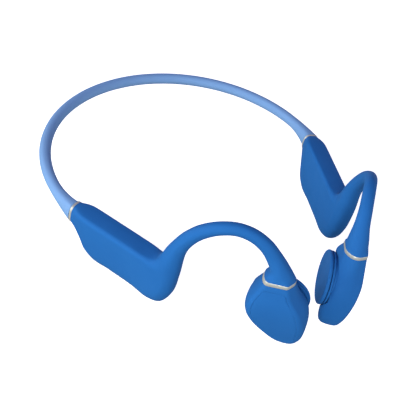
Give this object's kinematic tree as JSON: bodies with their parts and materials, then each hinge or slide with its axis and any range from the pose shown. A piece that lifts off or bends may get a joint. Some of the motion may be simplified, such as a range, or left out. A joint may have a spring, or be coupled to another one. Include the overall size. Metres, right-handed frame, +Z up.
{
  "type": "bone conduction headphones",
  "caption": "Wrap-around bone conduction headphones: springy neckband, flat pods, ear hooks and capsules whose round pads rest on the cheekbones.",
  "frame": {"origin": "on the table under the middle of the headphones' box: both pods stand on Z = 0", "axes": "+X the wearer's left, +Y towards the back of the neckband, +Z up, with the plane of symmetry at X = 0"},
  "size_m": [0.1322, 0.1617, 0.0553],
  "materials": {
    "band_silicone": "light blue silicone, satin",
    "skin_silicone": "mid blue silicone, soft matte",
    "ring_metal": "warm grey, finely brushed",
    "titanium_wire": "drawn wire, bare",
    "cable_jacket": "thin black jacket",
    "black_nylon": "moulded black nylon, fine grain",
    "battery_foil": "crimped silver foil pouch",
    "circuit_board": "green solder mask",
    "chip_epoxy": "black moulded epoxy",
    "copper": "bare copper",
    "gold_contact": "gold plated",
    "plated_steel": "nickel plated steel",
    "magnet_metal": "nickel plated magnet",
    "light_pipe": "clear, slightly milky"
  },
  "bodies": {
    "right_half": {"antenna_right": "copper", "arm_skin_right": "skin_silicone", "bluetooth_module_right": "chip_epoxy", "capsule_shell_right": "skin_silicone", "charge_contact_1_right": "gold_contact", "charge_contact_2_right": "gold_contact", "charge_socket_right": "black_nylon", "collar_ring_right": "ring_metal", "hook_cable_right": "cable_jacket", "hook_wire_right": "titanium_wire", "magnet_right": "magnet_metal", "main_board_right": "circuit_board", "microphone_right": "plated_steel", "multifunction_switch_right": "chip_epoxy", "neckband_cable_right": "cable_jacket", "neckband_sleeve_right": "band_silicone", "neckband_wire_right": "titanium_wire", "pad_surround_right": "skin_silicone", "pod_frame_right": "black_nylon", "power_chip_right": "chip_epoxy", "spring_plate_right": "plated_steel", "status_light_right": "light_pipe", "trim_ring_right": "ring_metal", "volume_down_switch_right": "chip_epoxy", "volume_up_switch_right": "chip_epoxy", "yoke_right": "plated_steel"},
    "left_half": {"arm_skin_left": "skin_silicone", "battery_left": "battery_foil", "battery_protection_board_left": "circuit_board", "capsule_shell_left": "skin_silicone", "collar_ring_left": "ring_metal", "face_cover_left": "skin_silicone", "hook_cable_left": "cable_jacket", "hook_wire_left": "titanium_wire", "magnet_left": "magnet_metal", "neckband_cable_left": "cable_jacket", "neckband_sleeve_left": "band_silicone", "neckband_wire_left": "titanium_wire", "pad_surround_left": "skin_silicone", "pod_frame_left": "black_nylon", "spring_plate_left": "plated_steel", "trim_ring_left": "ring_metal", "yoke_left": "plated_steel"},
    "left_pad": {"drive_plate_left": "plated_steel", "pad_left": "skin_silicone", "voice_coil_left": "copper"},
    "right_pad": {"drive_plate_right": "plated_steel", "pad_right": "skin_silicone", "voice_coil_right": "copper"},
    "multifunction_key": {"multifunction_button_right": "skin_silicone"},
    "volume_down_key": {"volume_down_button_right": "skin_silicone"},
    "volume_up_key": {"volume_up_button_right": "skin_silicone"}
  },
  "joints": [
    {"name": "neckband_flex", "type": "hinge", "parent": "right_half", "child": "left_half", "pos_m": [0, 0.08086, 0.01986], "axis": [0, 0, 1], "range_deg": [0, 30], "stiffness_Nm_per_rad": 0.15},
    {"name": "left_pad_shake", "type": "slide", "parent": "left_half", "child": "left_pad", "axis": [-0.7718, 0.6339, 0.05], "range_m": [-0.0003, 0.0003], "stiffness_N_per_m": 400},
    {"name": "right_pad_shake", "type": "slide", "parent": "right_half", "child": "right_pad", "axis": [0.7718, 0.6339, 0.05], "range_m": [-0.0003, 0.0003], "stiffness_N_per_m": 400},
    {"name": "multifunction_press", "type": "slide", "parent": "right_half", "child": "multifunction_key", "axis": [0.6947, 0.7193, 0], "range_m": [0, 0.0003], "stiffness_N_per_m": 500},
    {"name": "volume_up_press", "type": "slide", "parent": "right_half", "child": "volume_up_key", "axis": [0, 0, 1], "range_m": [0, 0.0004], "stiffness_N_per_m": 500},
    {"name": "volume_down_press", "type": "slide", "parent": "right_half", "child": "volume_down_key", "axis": [0, 0, 1], "range_m": [0, 0.0004], "stiffness_N_per_m": 500}
  ]
}
